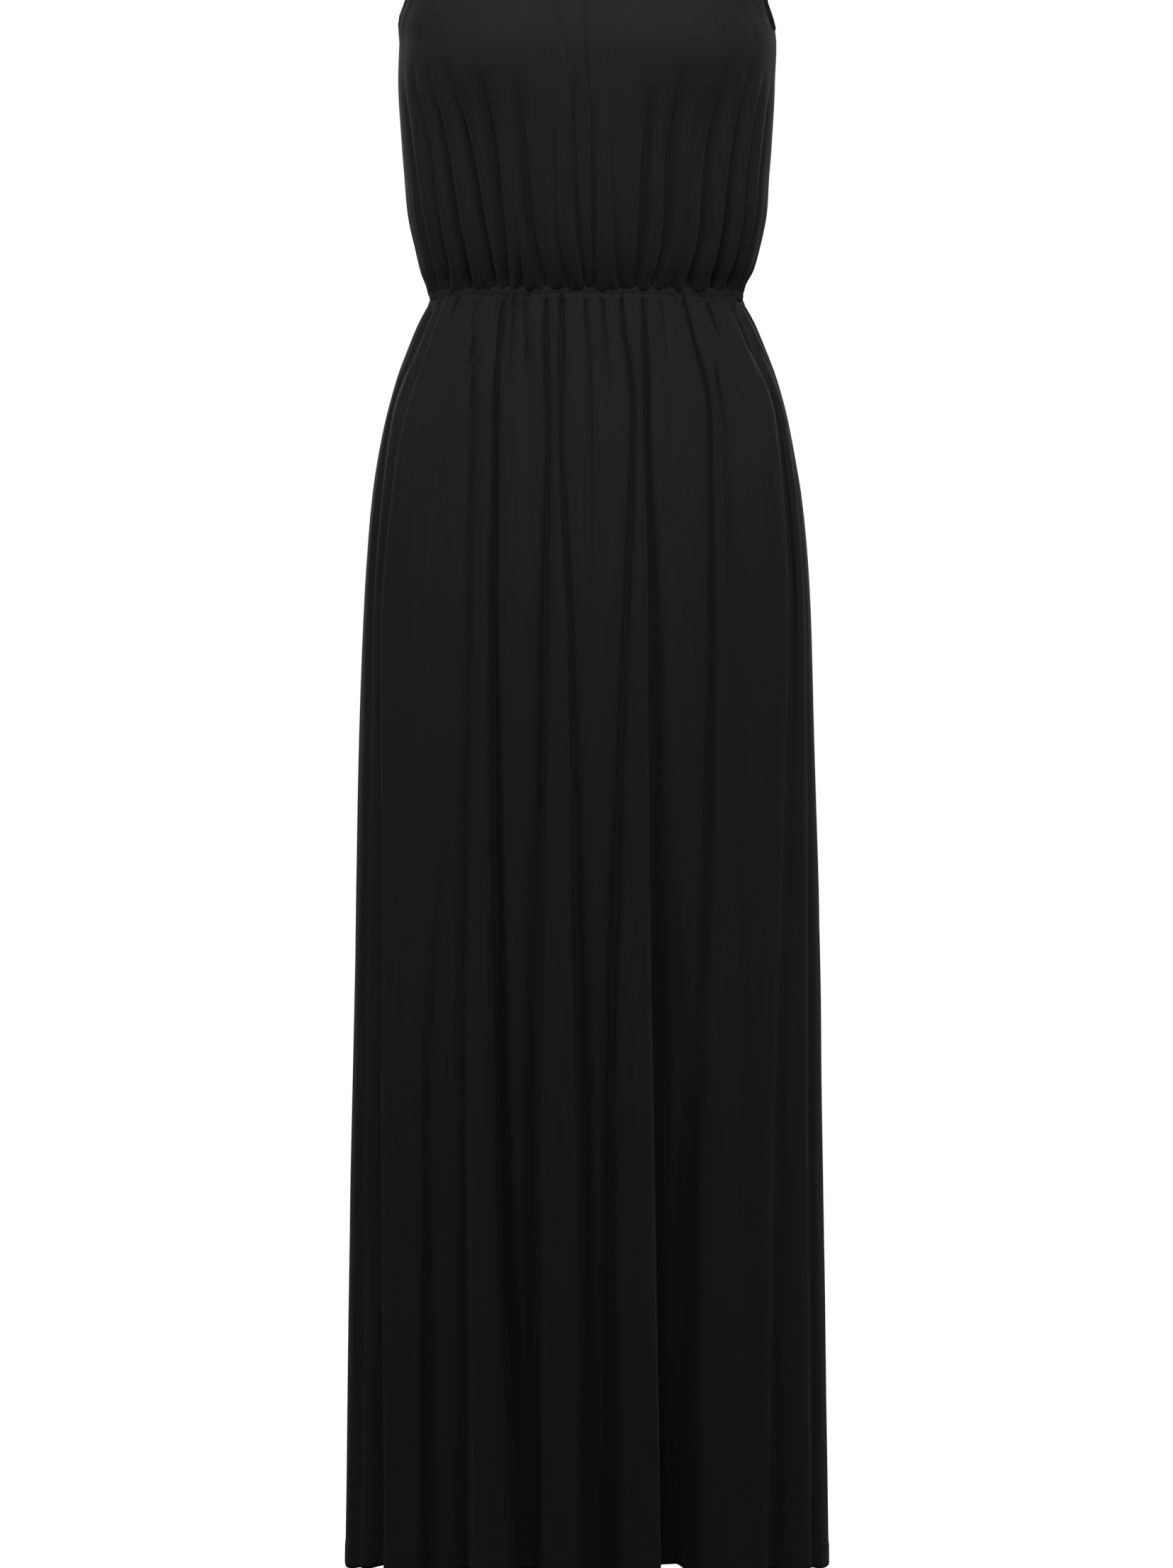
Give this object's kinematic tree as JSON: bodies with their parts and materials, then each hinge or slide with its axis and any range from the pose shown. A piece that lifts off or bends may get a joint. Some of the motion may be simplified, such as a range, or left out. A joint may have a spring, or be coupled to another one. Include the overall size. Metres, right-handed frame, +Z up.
{
  "type": "sundress",
  "caption": "Sleeveless black jersey maxi sundress with a gathered waist and long folded skirt, hollow as worn.",
  "frame": {"origin": "midway between the shoulder seams at the neck points, where the wearer holds the dress up", "axes": "+Z up the wearer, -Y out of the front of the dress, +X to the right as the front is seen"},
  "size_m": [0.392, 0.3468, 1.4751],
  "materials": {
    "jersey": "matt black viscose jersey with a faint sheen",
    "casing": "the same jersey, stitched over narrow elastic"
  },
  "bodies": {
    "root": {"bodice_front": "jersey", "bodice_back": "jersey", "waist_casing": "casing", "skirt_front": "jersey", "skirt_back": "jersey"}
  },
  "joints": []
}
